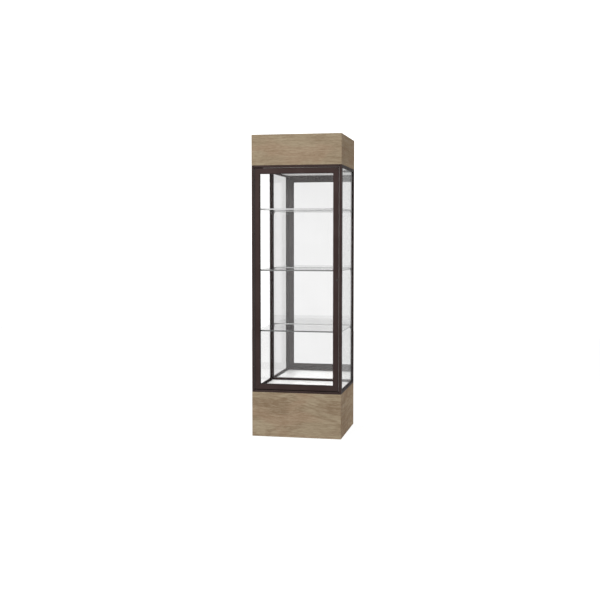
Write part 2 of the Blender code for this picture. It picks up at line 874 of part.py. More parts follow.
cam_slot = box(
    "lock_cam_slot",
    (SIDE - POST_FACE - CUTTER_OVERRUN, FRAME_FRONT + CAM_SLOT_FRONT, LOCK_Z - CAM_SLOT_BELOW),
    (SIDE - CAM_SLOT_END, FRAME_FRONT + CAM_SLOT_REAR, LOCK_Z + CAM_SLOT_ABOVE),
    None,
    cutters,
)
boolean(posts["front", "right"], cam_slot, "DIFFERENCE")
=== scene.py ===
"""Tower display case, finished for the camera: laminate plinth and header, dark bronze frame,
clear glass, mirror back, glass shelves and a hinged, lockable glass door.

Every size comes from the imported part. Metres, +Z up, and the door faces -Y.
"""

import math

import bmesh
import bpy
import numpy as np
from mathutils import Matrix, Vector


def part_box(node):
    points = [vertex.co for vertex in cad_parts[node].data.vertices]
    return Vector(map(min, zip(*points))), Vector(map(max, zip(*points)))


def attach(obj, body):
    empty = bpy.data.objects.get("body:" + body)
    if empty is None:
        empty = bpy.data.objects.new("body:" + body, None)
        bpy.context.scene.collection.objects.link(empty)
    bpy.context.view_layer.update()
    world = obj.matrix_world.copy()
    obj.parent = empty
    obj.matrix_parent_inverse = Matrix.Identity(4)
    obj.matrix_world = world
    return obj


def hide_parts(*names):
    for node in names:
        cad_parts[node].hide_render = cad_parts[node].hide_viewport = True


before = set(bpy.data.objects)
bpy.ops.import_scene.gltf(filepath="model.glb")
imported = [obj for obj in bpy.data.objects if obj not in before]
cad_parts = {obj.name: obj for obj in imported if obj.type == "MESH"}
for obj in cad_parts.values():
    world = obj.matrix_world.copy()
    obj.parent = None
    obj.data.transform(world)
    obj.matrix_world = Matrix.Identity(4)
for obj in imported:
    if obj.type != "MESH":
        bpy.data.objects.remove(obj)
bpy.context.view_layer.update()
scene = bpy.context.scene


# Plinth and header panels. Each box is four 18 mm boards faced with weathered oak laminate,
# with the grain level all the way round. Their ends are mitred, glued and lightly eased.

PANEL_EASE = 0.0007
RIGHT, BACK, UP = (1, 0, 0), (0, 1, 0), (0, 0, 1)


def linear(red, green, blue):
    """A colour given as it shows on a screen, 0 to 255, as the light that it reflects, 0 to 1."""
    shown = np.array([red, green, blue]) / 255
    light = np.where(shown < 0.04045, shown / 12.92, ((shown + 0.055) / 1.055) ** 2.4)
    return (*light.tolist(), 1.0)


def add_node(tree, kind, values=None, **settings):
    """Adds a node. A value for a socket is a number, a colour or the socket that feeds it."""
    node = tree.nodes.new(kind)
    for setting, value in settings.items():
        setattr(node, setting, value)
    for socket, value in (values or {}).items():
        if isinstance(value, bpy.types.NodeSocket):
            tree.links.new(value, node.inputs[socket])
        else:
            node.inputs[socket].default_value = value
    return node


def new_finish(name):
    """A material with an empty Principled surface, and its node tree and shader."""
    finish = bpy.data.materials.new(name)
    finish.use_nodes = True
    return finish, finish.node_tree, finish.node_tree.nodes["Principled BSDF"]


def piece_place(tree, turn=(0, 0, 0), shift=(0, 0, 0)):
    """Where a point lies on the piece, turned so that X runs with the grain and Z across it."""
    where = add_node(tree, "ShaderNodeTexCoord").outputs["Object"]
    values = {"Vector": where, "Rotation": turn, "Location": shift}
    return add_node(tree, "ShaderNodeMapping", values).outputs["Vector"]


def noise(tree, place, stretch, detail=2.0, roughness=0.5, distortion=0.0):
    """Cloudy noise, 0 to 1, with stretch cells to the metre along each axis."""
    scaled = add_node(
        tree, "ShaderNodeVectorMath", {0: place, 1: stretch}, operation="MULTIPLY"
    ).outputs["Vector"]
    values = {
        "Vector": scaled,
        "Scale": 1.0,
        "Detail": detail,
        "Roughness": roughness,
        "Distortion": distortion,
    }
    return add_node(tree, "ShaderNodeTexNoise", values).outputs["Fac"]


def spread(tree, value, low, high, to_low=0.0, to_high=1.0):
    """Values from low to high, taken smoothly to the range from to_low to to_high."""
    values = {"Value": value, 1: low, 2: high, 3: to_low, 4: to_high}
    return add_node(
        tree, "ShaderNodeMapRange", values, interpolation_type="SMOOTHSTEP"
    ).outputs["Result"]


def sum_of(tree, value, times, plus=0.0):
    """value * times + plus."""
    values = {0: value, 1: times, 2: plus}
    return add_node(tree, "ShaderNodeMath", values, operation="MULTIPLY_ADD").outputs[0]


def blended(tree, share, first, second):
    """The first colour where share is 0, and the second where it is 1."""
    mix = add_node(tree, "ShaderNodeMix", {"Factor": share}, data_type="RGBA")
    for socket, colour in (("A", first), ("B", second)):
        target = next(s for s in mix.inputs if s.name == socket and s.type == "RGBA")
        if isinstance(colour, bpy.types.NodeSocket):
            tree.links.new(colour, target)
        else:
            target.default_value = colour
    return next(s for s in mix.outputs if s.type == "RGBA")


def raised(tree, height, distance, strength=1.0):
    """The normal of a surface whose fine relief is height, times distance in metres."""
    values = {"Height": height, "Distance": distance, "Strength": strength}
    return add_node(tree, "ShaderNodeBump", values).outputs["Normal"]


def oak_laminate(name, turn, shift, tones, figured):
    """Weathered oak: a pale ground with slow clouds of brown and of a warm shade, contour lines
    of a stretched noise for the cathedral figure, and over it all short level strokes, fine
    streaks and dark pores along the grain. tones is the ground, the brown and the warm shade.
    figured, 0 to 1, is how boldly the brown clouds and the cathedral figure show."""
    ground, brown, warm_shade = tones
    finish, tree, shader = new_finish(name)
    place = piece_place(tree, turn, shift)
    cloud = noise(tree, place, (2.6, 2.6, 7.0), detail=2.5, roughness=0.5, distortion=1.0)
    field = noise(tree, place, (1.5, 1.5, 6.5), detail=1.2, roughness=0.45, distortion=0.9)
    wave = add_node(tree, "ShaderNodeMath", {0: sum_of(tree, field, 44.0)}, operation="SINE")
    ring = spread(tree, wave.outputs[0], -0.1, 1.0)
    warm = noise(tree, place, (3.0, 3.0, 9.0), detail=2.0, distortion=0.6)
    stroke = noise(tree, place, (30.0, 30.0, 230.0), detail=3.0, roughness=0.6, distortion=0.4)
    streak = noise(tree, place, (5.0, 5.0, 120.0), detail=4.0, roughness=0.6)
    fibre = noise(tree, place, (40.0, 40.0, 900.0), detail=3.0, roughness=0.6)
    pore = spread(tree, noise(tree, place, (26.0, 26.0, 420.0), detail=2.0), 0.56, 0.74)

    patch = spread(tree, cloud, 0.56, 0.40, 0.0, 0.2 + 0.6 * figured)
    tone = blended(tree, patch, ground, brown)
    tone = blended(tree, sum_of(tree, ring, 0.5 * figured), tone, brown)
    tone = blended(tree, spread(tree, warm, 0.48, 0.66, 0.0, 0.7), tone, warm_shade)
    tone = blended(tree, spread(tree, streak, 0.50, 0.66, 0.0, 0.24), tone, PALE_STROKE)
    tone = blended(tree, spread(tree, streak, 0.48, 0.32, 0.0, 0.26), tone, DARK_STROKE)
    tone = blended(tree, spread(tree, stroke, 0.50, 0.66, 0.0, 0.30), tone, PALE_STROKE)
    tone = blended(tree, spread(tree, stroke, 0.49, 0.34, 0.0, 0.34), tone, DARK_STROKE)
    tone = blended(tree, sum_of(tree, pore, 0.3), tone, PORE)
    tree.links.new(tone, shader.inputs["Base Color"])
    tree.links.new(spread(tree, streak, 0.3, 0.7, 0.66, 0.5), shader.inputs["Roughness"])
    grain = sum_of(tree, pore, -0.8, sum_of(tree, fibre, 0.5, 0.0))
    tree.links.new(raised(tree, grain, 0.00008), shader.inputs["Normal"])
    shader.inputs["Specular IOR Level"].default_value = 0.02
    return finish


def carried(name, sections, origin, across, up, along, finish, capped=True):
    """A closed bar through a stack of sections. sections[i, j] is outline point j at station i, as
    its distances across, up and along from the origin, and each station is joined to the next.
    A ring, whose last station is its first again, has no caps."""
    stations, count, _ = sections.shape
    points = np.asarray(origin, float) + sections @ np.array([across, up, along], float)
    index = np.arange(stations * count).reshape(stations, count)
    beside = np.roll(index, -1, axis=1)
    quads = np.stack([index[:-1], beside[:-1], beside[1:], index[1:]], axis=-1).reshape(-1, 4)
    mesh = bpy.data.meshes.new(name)
    ends = [index[0, ::-1].tolist(), index[-1].tolist()] if capped else []
    mesh.from_pydata(points.reshape(-1, 3).tolist(), [], [*ends, *quads.tolist()])
    shape = bmesh.new()
    shape.from_mesh(mesh)
    bmesh.ops.remove_doubles(shape, verts=shape.verts, dist=1e-6)
    bmesh.ops.recalc_face_normals(shape, faces=shape.faces)
    shape.to_mesh(mesh)
    shape.free()
    return shown(name, mesh, finish)


def bar(name, outline, start, end, across, up, finish, mitre=(0, 0)):
    """A straight bar: outline point (u, v) stands at start + u * across + v * up, and again at end.
    An end slides along the bar by its mitre times u, so that 1 or -1 cuts it at 45 degrees."""
    outline = np.asarray(outline, float)
    run = np.asarray(end, float) - np.asarray(start, float)
    length = np.linalg.norm(run)
    ends = np.array([[0.0], [length]]) + np.outer(mitre, outline[:, 0])
    flat = np.broadcast_to(outline, (2, *outline.shape))
    sections = np.concatenate([flat, ends[:, :, None]], axis=2)
    return carried(name, sections, start, across, up, run / length, finish)


def shown(name, mesh, finish):
    """Puts a finished mesh in the scene, smooth wherever no sharp edge says otherwise."""
    mesh.shade_smooth()
    mesh.materials.append(finish)
    made = bpy.data.objects.new(name, mesh)
    scene.collection.objects.link(made)
    return made


def eased(made, width, segments=2):
    """Rounds every sharp edge with a small Bevel, which also keeps the flat faces flat."""
    bevel = made.modifiers.new("eased_edges", "BEVEL")
    bevel.width = width
    bevel.segments = segments
    bevel.limit_method = "ANGLE"
    bevel.angle_limit = math.radians(28)
    bevel.harden_normals = True
    return made


def settled(made, body, slot, *nodes):
    """Rides the piece on its body, in place of its CAD nodes. slot is not used."""
    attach(made, body)
    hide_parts(*nodes)
    return made


def rectangle(wide, high):
    """The outline of a board, a sheet or a strip."""
    return [(0, 0), (wide, 0), (wide, high), (0, high)]


FIGURED = {"base": 1.0, "header": 0.15}
PALE_STROKE = linear(177, 163, 139)
DARK_STROKE = linear(118, 99, 76)
PORE = linear(100, 82, 62)
FACE_TONES = (linear(153, 138, 115), linear(126, 106, 85), linear(150, 128, 106))
# The side panels take their own warmer tones, which are painted light for the warmer light that
# falls on the sides.
SIDE_TONES_PAINTED_LIGHT = (linear(168, 146, 118), linear(140, 115, 89), linear(153, 124, 98))
ALONG_FRONT = (0, 0, 0)
ALONG_SIDE = (0, 0, math.pi / 2)
LAID_FLAT = (math.pi / 2, 0, 0)
grain_shift = {"base": (1.9, 0.0, 0.46), "header": (4.1, 2.0, -0.43)}
for box in ("base", "header"):
    left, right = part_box(f"{box}_left_panel")[0].x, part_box(f"{box}_right_panel")[1].x
    front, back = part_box(f"{box}_front_panel")[0].y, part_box(f"{box}_back_panel")[1].y
    corners = {
        "front": ((left, front), (right, front), (0, 1)),
        "right": ((right, front), (right, back), (-1, 0)),
        "back": ((right, back), (left, back), (0, -1)),
        "left": ((left, back), (left, front), (1, 0)),
    }
    for side, (start, end, inwards) in corners.items():
        node = f"{box}_{side}_panel"
        node_low, node_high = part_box(node)
        thickness = min(node_high.x - node_low.x, node_high.y - node_low.y)
        turn, tones = ALONG_FRONT, FACE_TONES
        # Sides take the warmer tones of painted light.
        if side in ("left", "right"):
            turn, tones = ALONG_SIDE, SIDE_TONES_PAINTED_LIGHT
        finish = oak_laminate(f"oak_{box}_{side}", turn, grain_shift[box], tones, FIGURED[box])
        panel = bar(
            node + "_faced",
            rectangle(thickness, node_high.z - node_low.z),
            (*start, node_low.z),
            (*end, node_low.z),
            (*inwards, 0),
            UP,
            finish,
            mitre=(1, -1),
        )
        eased(panel, PANEL_EASE)
        settled(panel, "case", "laminate", node)


# Boards let in between the panels, cut from the same faced board: the plinth's top, the header's
# top, and the plinth's bottom, which is set up inside the panels and holds the levelling feet.

BOARD_EASE = 0.0005


def slab(name, node, finish):
    """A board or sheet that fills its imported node's box."""
    low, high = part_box(node)
    section = rectangle(high.y - low.y, high.z - low.z)
    return bar(name, section, tuple(low), (high.x, low.y, low.z), BACK, UP, finish)


board_oak = oak_laminate("oak_boards", LAID_FLAT, (7.3, 1.1, 0.6), FACE_TONES, 0.5)
for node in ("base_top_board", "base_bottom_board", "header_top_board"):
    board = slab(node + "_faced", node, board_oak)
    eased(board, BOARD_EASE)
    settled(board, "case", "laminate", node)


# Levelling feet. A zinc-plated M10 stem screws up into the bottom board, over a hexagonal
# nut and a domed steel pad that stands on the floor.

THREAD_PITCH = 0.0015
THREAD_DEPTH = 0.0007
THREAD_RADIUS = 0.0049
NUT_CORNER_RADIUS = 0.0085
STEM_START = 0.016
ROUND = 48


def mottled(tree, shader, value, low, high, first, second):
    """Colours a surface from first, where value is low or less, to second, where it is high or
    more. Both colours are given as they show on a screen."""
    colour = blended(tree, spread(tree, value, low, high), linear(*first), linear(*second))
    tree.links.new(colour, shader.inputs["Base Color"])


def zinc_plate():
    """Pale plated steel, with a faint bluish and yellowish cloudiness and fine scuffs."""
    finish, tree, shader = new_finish("zinc_plate")
    place = piece_place(tree)
    cloud = noise(tree, place, (90.0, 90.0, 90.0), detail=3.0)
    mottled(tree, shader, cloud, 0.4, 0.65, (176, 179, 184), (190, 186, 172))
    scuffs = noise(tree, place, (700.0, 700.0, 700.0), detail=4.0)
    tree.links.new(spread(tree, scuffs, 0.3, 0.7, 0.28, 0.45), shader.inputs["Roughness"])
    shader.inputs["Metallic"].default_value = 1.0
    return finish


def turned(name, radii, along_axis, origin, across, up, along, finish, capped=True):
    """A surface turned about the line along, from the origin. Its station i is along_axis[i] out,
    and point j there is radii[i, j] from the line, at the angle j shares of a turn."""
    angles = np.arange(radii.shape[1]) * 2 * np.pi / radii.shape[1]
    out = np.broadcast_to(np.asarray(along_axis)[:, None], radii.shape)
    sections = np.stack([radii * np.cos(angles), radii * np.sin(angles), out], axis=-1)
    return carried(name, sections, origin, across, up, along, finish, capped)


def levelling_foot(name, centre, stem_top, finish):
    """Pad, nut and threaded stem in one turned surface. The nut's radius follows a hexagon, and
    the thread's is a triangle wave of the height less the angle's share of a pitch."""
    angles = np.arange(ROUND) * 2 * np.pi / ROUND
    pad_heights = np.array([0, 0.0006, 0.0034, 0.0040, 0.0062, 0.0080, 0.0090])
    pad_radii = np.array([0.0194, 0.020, 0.020, 0.0195, 0.0165, 0.0125, 0.0115])
    to_flat = (angles + np.pi / 6) % (np.pi / 3) - np.pi / 6
    hexagon = NUT_CORNER_RADIUS * np.cos(np.pi / 6) / np.cos(to_flat)
    nut_heights = np.array([0.0090, 0.0096, 0.0154, 0.0160])
    nut_radii = np.minimum(hexagon, np.array([0.0079, 0.0085, 0.0085, 0.0079])[:, None])
    stem_heights = np.arange(STEM_START, stem_top, THREAD_PITCH / 6)
    phase = (stem_heights[:, None] / THREAD_PITCH - angles / (2 * np.pi)) % 1
    stem_radii = THREAD_RADIUS - THREAD_DEPTH * (1 - np.abs(2 * phase - 1))
    heights = np.concatenate([pad_heights, nut_heights, stem_heights])
    radii = np.concatenate([np.repeat(pad_radii[:, None], ROUND, axis=1), nut_radii, stem_radii])
    return turned(name, radii, heights, centre, RIGHT, BACK, UP, finish)


def creased(made, degrees):
    """Marks as sharp every edge that bends by more than this."""
    made.data.set_sharp_from_angle(angle=math.radians(degrees))
    return made


zinc = zinc_plate()
for end in ("front", "rear"):
    for hand in ("left", "right"):
        node = f"levelling_foot_{end}_{hand}"
        low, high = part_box(node)
        middle = (low + high) / 2
        foot = levelling_foot(node + "_turned", (middle.x, middle.y, low.z), high.z - low.z, zinc)
        creased(foot, 35)
        settled(foot, node, "zinc", node)


# Frame. Posts and rails are dark bronze anodised aluminium extrusions, 16 mm wide in front and
# cut square. Faint die lines run along each length.

FRAME_EASE = 0.0004
CHAMFER = 0.003
GROOVE_NEAR = 0.0047
GROOVE_FAR = 0.0113
GROOVE_DEPTH = 0.008
RABBET = 0.008
RABBET_DEPTH = 0.0083
FRONT_RAIL_FACE = 0.0157
STOP_LIP_START = 0.024
GAP = 0.0003


def bronze_anodised(name, die_lines):
    """Dark bronze anodising on metal. die_lines is the cells to the metre along each axis, few
    along the bar and many across it, for the fine lines that the extrusion die leaves."""
    finish, tree, shader = new_finish(name)
    place = piece_place(tree)
    cloud = noise(tree, place, (6.0, 6.0, 6.0), detail=3.0)
    mottled(tree, shader, cloud, 0.35, 0.65, (57, 46, 44), (62, 51, 49))
    lines = noise(tree, place, die_lines, detail=3.0, roughness=0.6)
    tree.links.new(spread(tree, lines, 0.3, 0.7, 0.32, 0.46), shader.inputs["Roughness"])
    tree.links.new(raised(tree, lines, 0.00002), shader.inputs["Normal"])
    shader.inputs["Metallic"].default_value = 0.4
    shader.inputs["Specular IOR Level"].default_value = 0.014
    shader.inputs["Specular Tint"].default_value = (0.1, 0.08, 0.08, 1.0)
    return finish


bronze = {
    "upright": bronze_anodised("bronze_upright", (900.0, 900.0, 3.0)),
    "across": bronze_anodised("bronze_across", (3.0, 900.0, 900.0)),
    "deep": bronze_anodised("bronze_deep", (900.0, 3.0, 900.0)),
}

CLIP_SLOT_HALF_WIDTH = 0.0012
CLIP_SLOT_DEPTH = 0.0075
CLIP_SLOT_BOTTOM = 0.0157
CLIP_SLOT_TOP = 0.0027
CAM_SLOT_NEAR = 0.023
CAM_SLOT_FAR = 0.029
CAM_SLOT_FLOOR = 0.006
CAM_SLOT_BELOW = 0.020
CAM_SLOT_ABOVE = 0.008


def front_post(wide, deep, clip_line, clip_slot, cam_slot):
    """The outline of a front post, from its outer side (u) and its front (v), at one height. The
    glazing groove is in its rear. clip_slot and cam_slot are how deep its slots are there."""
    left, right = clip_line - CLIP_SLOT_HALF_WIDTH, clip_line + CLIP_SLOT_HALF_WIDTH
    return [
        (0, 0),
        (wide - CHAMFER, 0),
        (wide, CHAMFER),
        (wide, CAM_SLOT_NEAR),
        (wide - cam_slot, CAM_SLOT_NEAR),
        (wide - cam_slot, CAM_SLOT_FAR),
        (wide, CAM_SLOT_FAR),
        (wide, deep),
        (right, deep),
        (right, deep - clip_slot),
        (left, deep - clip_slot),
        (left, deep),
        (GROOVE_FAR, deep),
        (GROOVE_FAR, deep - GROOVE_DEPTH),
        (GROOVE_NEAR, deep - GROOVE_DEPTH),
        (GROOVE_NEAR, deep),
        (0, deep),
    ]


def rear_post(wide, deep, clip_line, clip_slot, cam_slot):
    """The outline of a rear post, which has its glazing groove and its clip slots in front and
    the rabbet that the mirror lies in behind."""
    left, right = clip_line - CLIP_SLOT_HALF_WIDTH, clip_line + CLIP_SLOT_HALF_WIDTH
    mirror_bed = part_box("mirror_back")[0].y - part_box("rear_left_post")[0].y - GAP
    return [
        (0, 0),
        (GROOVE_NEAR, 0),
        (GROOVE_NEAR, GROOVE_DEPTH),
        (GROOVE_FAR, GROOVE_DEPTH),
        (GROOVE_FAR, 0),
        (left, 0),
        (left, clip_slot),
        (right, clip_slot),
        (right, 0),
        (wide, 0),
        (wide, mirror_bed),
        (RABBET, mirror_bed),
        (RABBET, deep),
        (0, deep),
    ]


def slotted_post(node, outline_at, inwards, finish):
    """A post whose outline steps in at each slot. Two stations stand at each slot's end, one with
    the slot shut and one with it open, so that the slot has a flat floor and ceiling."""
    low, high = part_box(node)
    clips = [f"shelf_{n}_clip_{node.replace('_post', '')}" for n in (1, 2, 3)]
    clip_low, clip_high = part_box(clips[0])
    outer = low.x if inwards > 0 else high.x
    clip_line = abs((clip_low.x + clip_high.x) / 2 - outer)
    steps = []
    for clip in clips:
        clip_low, clip_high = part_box(clip)
        bottom, top = clip_high.z - CLIP_SLOT_BOTTOM, clip_high.z - CLIP_SLOT_TOP
        steps.append((bottom, top, CLIP_SLOT_DEPTH, 0.0))
    if node == "front_right_post":
        lock_z = (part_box("lock_barrel")[0].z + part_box("lock_barrel")[1].z) / 2
        bottom, top = lock_z - CAM_SLOT_BELOW, lock_z + CAM_SLOT_ABOVE
        steps.append((bottom, top, 0.0, high.x - low.x - CAM_SLOT_FLOOR))
    stations = [(low.z, 0.0, 0.0)]
    for bottom, top, clip_slot, cam_slot in sorted(steps):
        stations += [(bottom, 0.0, 0.0), (bottom, clip_slot, cam_slot)]
        stations += [(top, clip_slot, cam_slot), (top, 0.0, 0.0)]
    stations.append((high.z, 0.0, 0.0))
    size = (high.x - low.x, high.y - low.y)
    outlines = np.array([outline_at(*size, clip_line, *slots) for _, *slots in stations])
    heights = np.array([height - low.z for height, *_ in stations])
    heights = np.broadcast_to(heights[:, None, None], (*outlines.shape[:2], 1))
    sections = np.concatenate([outlines, heights], axis=2)
    origin = (outer, low.y, low.z)
    return carried(node + "_extrusion", sections, origin, (inwards, 0, 0), BACK, UP, finish)


for end, outline_at in (("front", front_post), ("rear", rear_post)):
    for hand, inwards in (("left", 1), ("right", -1)):
        node = f"{end}_{hand}_post"
        post = creased(slotted_post(node, outline_at, inwards, bronze["upright"]), 25)
        settled(post, "case", "bronze", node)


def rail_outline(node, deep, high):
    """A rail's section: u runs back from its front and v from the board that it lies on into
    the opening. Side rails have a glazing groove, the front ones a stop lip for the door, and
    the rear ones a rabbet for the mirror."""
    if node.startswith("front"):
        return [
            (0, 0),
            (deep, 0),
            (deep, high),
            (STOP_LIP_START, high),
            (STOP_LIP_START, FRONT_RAIL_FACE),
            (CHAMFER, FRONT_RAIL_FACE),
            (0, FRONT_RAIL_FACE - CHAMFER),
        ]
    groove_floor = high - GROOVE_DEPTH
    if node.startswith("rear"):
        mirror_bed = deep - RABBET_DEPTH
        return [
            (0, 0),
            (deep, 0),
            (deep, groove_floor),
            (mirror_bed, groove_floor),
            (mirror_bed, high),
            (0, high),
        ]
    return [
        (0, 0),
        (deep, 0),
        (deep, high),
        (GROOVE_FAR, high),
        (GROOVE_FAR, groove_floor),
        (GROOVE_NEAR, groove_floor),
        (GROOVE_NEAR, high),
        (0, high),
    ]


for side in ("front", "rear", "left", "right"):
    for level, up in (("bottom", 1), ("top", -1)):
        node = f"{side}_{level}_rail"
        low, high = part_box(node)
        base = low.z if up > 0 else high.z
        if side in ("front", "rear"):
            start, end = (low.x, low.y, base), (high.x, low.y, base)
            outline = rail_outline(node, high.y - low.y, high.z - low.z)
            inwards, metal = BACK, bronze["across"]
        else:
            outer = low.x if side == "left" else high.x
            start, end = (outer, low.y, base), (outer, high.y, base)
            outline = rail_outline(node, high.x - low.x, high.z - low.z)
            inwards, metal = (1 if side == "left" else -1, 0, 0), bronze["deep"]
        rail = bar(node + "_extrusion", outline, start, end, inwards, (0, 0, up), metal)
        eased(rail, FRAME_EASE)
        settled(rail, "case", "bronze", node)


# Deck and ceiling: white melamine-faced board, laid between the rails and eased at the edges.

LINING_EASE = 0.0006


def white_melamine():
    """A white satin facing with the faint pebbled grain of a melamine press plate."""
    finish, tree, shader = new_finish("white_melamine")
    place = piece_place(tree)
    cloud = noise(tree, place, (12.0, 12.0, 12.0), detail=2.0)
    mottled(tree, shader, cloud, 0.4, 0.6, (241, 240, 238), (246, 246, 245))
    pebble = noise(tree, place, (1300.0, 1300.0, 1300.0), detail=2.0)
    tree.links.new(spread(tree, pebble, 0.3, 0.7, 0.34, 0.46), shader.inputs["Roughness"])
    tree.links.new(raised(tree, pebble, 0.00003), shader.inputs["Normal"])
    return finish


melamine = white_melamine()
for node in ("floor_deck", "ceiling_panel"):
    lining = slab(node + "_faced", node, melamine)
    eased(lining, LINING_EASE)
    settled(lining, "case", "white", node)


# Mirror back: 4 mm silvered glass in the rear rabbet, with ground edges, in front of a black
# hardboard that keeps the silvering from being scratched.

MIRROR_EASE = 0.0006


def silvered_glass():
    """Silvering behind clear glass, with a trace of haze that veils the darkest reflections."""
    finish, tree, shader = new_finish("silvered_glass")
    place = piece_place(tree)
    haze = noise(tree, place, (5.0, 5.0, 5.0), detail=3.0)
    mottled(tree, shader, haze, 0.3, 0.7, (247, 247, 247), (250, 250, 250))
    shader.inputs["Metallic"].default_value = 0.86
    shader.inputs["Roughness"].default_value = 0.004
    return finish


def back_paint():
    """The grey paint over the silvering, seen only from behind."""
    finish, tree, shader = new_finish("mirror_back_paint")
    spots = noise(tree, piece_place(tree), (160.0, 160.0, 160.0), detail=4.0)
    mottled(tree, shader, spots, 0.4, 0.6, (96, 99, 101), (104, 107, 109))
    shader.inputs["Roughness"].default_value = 0.5
    return finish


mirror = slab("mirror_back_glass", "mirror_back", silvered_glass())
mirror.data.materials.append(back_paint())
rear_face = max(mirror.data.polygons, key=lambda face: face.center.y)
rear_face.material_index = 1
eased(mirror, MIRROR_EASE)
settled(mirror, "case", "mirror", "mirror_back")


# Backing board: 3.2 mm tempered hardboard, smooth and black outside, held round its edge by
# small countersunk screws into the frame.

BOARD_SCREWS_ACROSS = 4
BOARD_SCREWS_UP = 9
SCREW_FROM_EDGE = 0.006
SCREW_FROM_CORNER = 0.03
SCREW_RADIUS = 0.0034
CROSS_REACH = 0.0020
CROSS_HALF_WIDTH = 0.0007
CROSS_DEPTH = 0.0005


def black_hardboard():
    """Pressed fibreboard painted black, with short fibres that just show in the sheen."""
    finish, tree, shader = new_finish("black_hardboard")
    place = piece_place(tree)
    fibres = noise(tree, place, (500.0, 500.0, 160.0), detail=5.0, roughness=0.7, distortion=1.5)
    cloud = noise(tree, place, (7.0, 7.0, 7.0), detail=3.0)
    colour = blended(tree, spread(tree, cloud, 0.3, 0.7), linear(38, 37, 36), linear(48, 46, 44))
    colour = blended(tree, spread(tree, fibres, 0.55, 0.75, 0.0, 0.5), colour, linear(66, 62, 58))
    tree.links.new(colour, shader.inputs["Base Color"])
    tree.links.new(spread(tree, fibres, 0.3, 0.7, 0.5, 0.72), shader.inputs["Roughness"])
    tree.links.new(raised(tree, fibres, 0.00008), shader.inputs["Normal"])
    shader.inputs["Specular IOR Level"].default_value = 0.3
    return finish


board = slab("mirror_backing_board_pressed", "mirror_backing_board", black_hardboard())
eased(board, PANEL_EASE)
settled(board, "case", "black_board", "mirror_backing_board")


def dark_screw_steel(name, shade):
    """Blackened steel with a thin oil sheen, a little uneven."""
    finish, tree, shader = new_finish(name)
    cloud = noise(tree, piece_place(tree), (400.0, 400.0, 400.0), detail=3.0)
    dark = (shade, shade * 0.96, shade * 0.94)
    light = (shade * 1.2, shade * 1.14, shade * 1.1)
    mottled(tree, shader, cloud, 0.3, 0.7, dark, light)
    tree.links.new(spread(tree, cloud, 0.3, 0.7, 0.3, 0.48), shader.inputs["Roughness"])
    shader.inputs["Metallic"].default_value = 0.9
    return finish


def screw_heads(name, centres, radius, finish):
    """Countersunk heads that face +Y. Over each head's polar grid of (share of the radius, angle)
    the height is a shallow dome, and drops by half a millimetre inside the cross recess."""
    angles = np.arange(24) * 2 * np.pi / 24 + np.pi / 24
    shares = np.array([0.9, 1.0, 1.0, 0.92, 0.74, 0.58, 0.5, 0.34, 0.2, 0.1])
    domes = 1e-5 * np.array([-60, -50, 0, 12, 20, 25, 27, 30, 30, 30])
    across = radius * shares[:, None] * np.cos(angles)
    up = radius * shares[:, None] * np.sin(angles)
    arm = np.minimum(np.abs(across), np.abs(up)) < CROSS_HALF_WIDTH
    in_cross = arm & (np.hypot(across, up) < CROSS_REACH)
    out = domes[:, None] - CROSS_DEPTH * in_cross
    head = np.stack([across, out, up], axis=-1)
    points = (np.asarray(centres)[:, None, None, :] + head).reshape(-1, 3)
    index = np.arange(len(points)).reshape(len(centres), 10, 24)
    beside = np.roll(index, -1, axis=2)
    quads = np.stack([index[:, :-1], index[:, 1:], beside[:, 1:], beside[:, :-1]], axis=-1)
    ends = [*index[:, 0].tolist(), *index[:, -1, ::-1].tolist()]
    mesh = bpy.data.meshes.new(name)
    mesh.from_pydata(points.tolist(), [], [*ends, *quads.reshape(-1, 4).tolist()])
    return creased(shown(name, mesh, finish), 30)


low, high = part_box("mirror_backing_board")
across = np.linspace(low.x + SCREW_FROM_CORNER, high.x - SCREW_FROM_CORNER, BOARD_SCREWS_ACROSS)
upwards = np.linspace(low.z + SCREW_FROM_CORNER, high.z - SCREW_FROM_CORNER, BOARD_SCREWS_UP)
row_heights = (low.z + SCREW_FROM_EDGE, high.z - SCREW_FROM_EDGE)
column_places = (low.x + SCREW_FROM_EDGE, high.x - SCREW_FROM_EDGE)
rows = [(x, high.y, z) for z in row_heights for x in across]
columns = [(x, high.y, z) for x in column_places for z in upwards]
screws = screw_heads(
    "backing_board_screws", rows + columns, SCREW_RADIUS, dark_screw_steel("screw_steel", 74)
)
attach(screws, "case")


# Side glass: 6 mm clear float, slid down into the grooves of the posts and rails.

GLASS_EASE = 0.0008


def clear_float(name, head_on, at_a_slant, tint, edge):
    """Clear glass that lets light straight through with a trace of tint, and mirrors from
    head_on, looked at squarely, up to at_a_slant, along the surface. The shader is left for the
    sheet's edges, which show the body colour of the glass."""
    finish, tree, shader = new_finish(name)
    facing = add_node(tree, "ShaderNodeLayerWeight", {"Blend": 0.5}).outputs["Facing"]
    steep = add_node(tree, "ShaderNodeMath", {0: facing, 1: 6.0}, operation="POWER").outputs[0]
    share = sum_of(tree, steep, at_a_slant - head_on, head_on)
    waves = noise(tree, piece_place(tree), (3.0, 3.0, 3.0), detail=1.0)
    gloss = add_node(
        tree,
        "ShaderNodeBsdfGlossy",
        {"Color": (0.97, 0.97, 0.97, 1.0), "Roughness": 0.0, "Normal": raised(tree, waves, 0.0002)},
    )
    through = add_node(
        tree, "ShaderNodeBsdfTransparent", {"Color": blended(tree, steep, tint[0], tint[1])}
    )
    pane = add_node(
        tree, "ShaderNodeMixShader", {0: share, 1: through.outputs[0], 2: gloss.outputs[0]}
    )
    shader.inputs["Base Color"].default_value = edge
    shader.inputs["Roughness"].default_value = 0.12
    shader.inputs["Specular IOR Level"].default_value = 0.4
    return finish, tree, shader, pane


